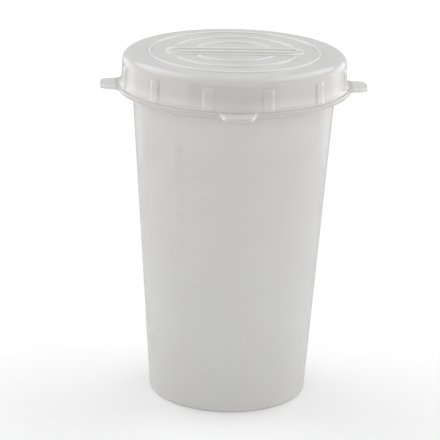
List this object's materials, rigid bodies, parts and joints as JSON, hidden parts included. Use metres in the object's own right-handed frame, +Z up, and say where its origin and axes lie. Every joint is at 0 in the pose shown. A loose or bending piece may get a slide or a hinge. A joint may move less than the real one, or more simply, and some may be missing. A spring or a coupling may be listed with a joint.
{
  "type": "rock tumbler barrel",
  "caption": "Tapered frosted plastic barrel with a seal ring and a pull-off lid with tabs, which holds stones, grit and water while a tumbler shakes it.",
  "frame": {"origin": "centre of the barrel's base, on the surface that it stands on", "axes": "+Z up along the barrel's own axis; the lid's pull tabs point along X and Y; the front is -Y and the panel on the lid runs along X"},
  "size_m": [0.1448, 0.1448, 0.1925],
  "materials": {
    "barrel_plastic": "frosted translucent polyethylene with a satin surface",
    "lid_plastic": "frosted translucent polyethylene, a little glossier on the shoulder and ribs",
    "seal_rubber": "translucent silicone, matt"
  },
  "bodies": {
    "barrel": {"barrel": "barrel_plastic"},
    "seal": {"lid_seal": "seal_rubber"},
    "lid": {"lid": "lid_plastic"}
  },
  "joints": [
    {"name": "lid_lift", "type": "slide", "parent": "barrel", "child": "seal", "axis": [0, 0, 1], "range_m": [0, 0.1]},
    {"name": "lid_turn", "type": "hinge", "parent": "seal", "child": "lid", "pos_m": [0, 0, 0.18], "axis": [0, 0, 1], "continuous": true}
  ]
}
